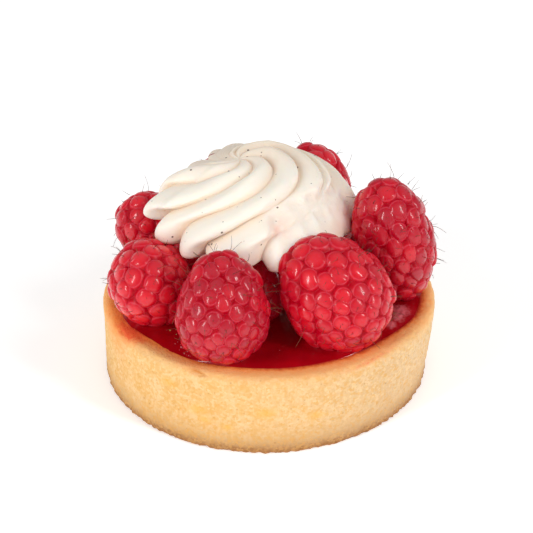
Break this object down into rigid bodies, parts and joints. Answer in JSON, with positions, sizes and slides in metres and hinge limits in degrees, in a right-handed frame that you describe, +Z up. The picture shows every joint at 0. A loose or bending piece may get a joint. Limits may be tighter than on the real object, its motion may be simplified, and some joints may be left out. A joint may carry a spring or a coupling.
{
  "type": "raspberry tartlet",
  "caption": "Round straight-sided shortcrust case filled with glossy red jam, topped with a ring of whole raspberries and a piped swirl of vanilla cream.",
  "frame": {"origin": "centre of the case's flat underside", "axes": "+Z up, -Y towards the side where the jam shows most, between the front berries; +X to the right seen from there"},
  "size_m": [0.0699, 0.0702, 0.0456],
  "materials": {
    "crust": "matte baked shortcrust, finely pitted, browner along the rim and the lower edge",
    "jam": "glossy set jam, dark red",
    "cream": "soft satin whipped cream with fine dark vanilla specks",
    "raspberry": "velvety raspberry skin with a pale bloom and soft highlights"
  },
  "bodies": {
    "root": {"crust": "crust", "jam": "jam", "cream": "cream", "berry_back_left": "raspberry", "berry_front_left": "raspberry", "berry_front": "raspberry", "berry_front_right": "raspberry", "berry_right": "raspberry", "berry_back_right": "raspberry", "berry_back": "raspberry", "berry_inner_left": "raspberry", "berry_inner": "raspberry"}
  },
  "joints": []
}
